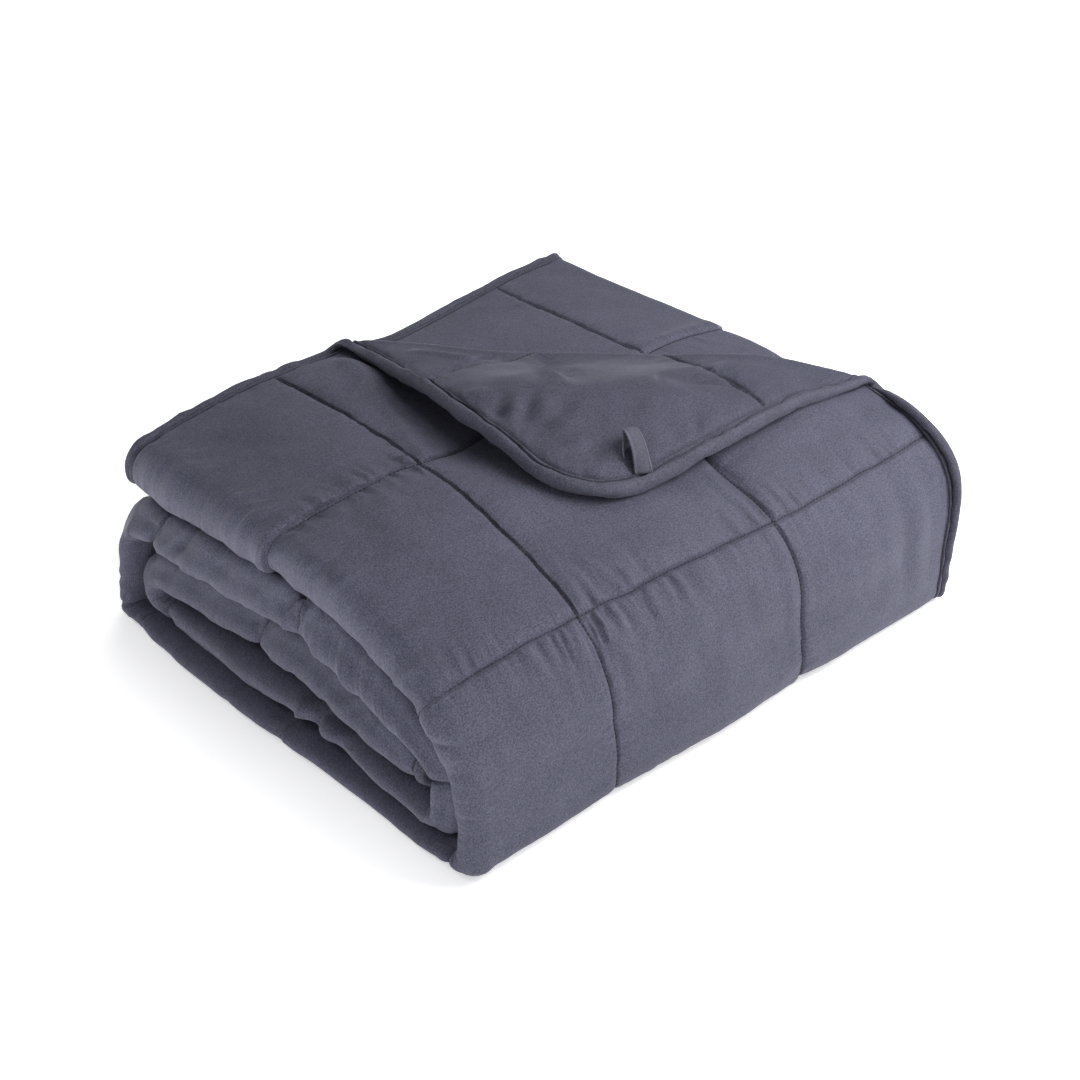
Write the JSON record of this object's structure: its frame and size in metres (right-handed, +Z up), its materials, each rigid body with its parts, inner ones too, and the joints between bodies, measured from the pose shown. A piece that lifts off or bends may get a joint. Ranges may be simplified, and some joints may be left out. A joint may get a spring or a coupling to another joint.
{
  "type": "weighted blanket",
  "caption": "Quilted weighted blanket folded into a low rectangular bundle, its loose top corner turned back to show a tape loop in the bound edge.",
  "frame": {"origin": "centre of the bounding box on the surface the folded blanket lies on", "axes": "+X towards the end with the smooth folds and the bound edge of the top ply, -Y towards the long rounded front fold, +Z up"},
  "size_m": [0.4328, 0.3796, 0.1635],
  "materials": {
    "quilted_cloth": "brushed matte",
    "edge_binding": "matte",
    "loop_tape": "matte"
  },
  "bodies": {
    "root": {"blanket": "quilted_cloth", "binding": "edge_binding", "corner_loop": "loop_tape"}
  },
  "joints": []
}
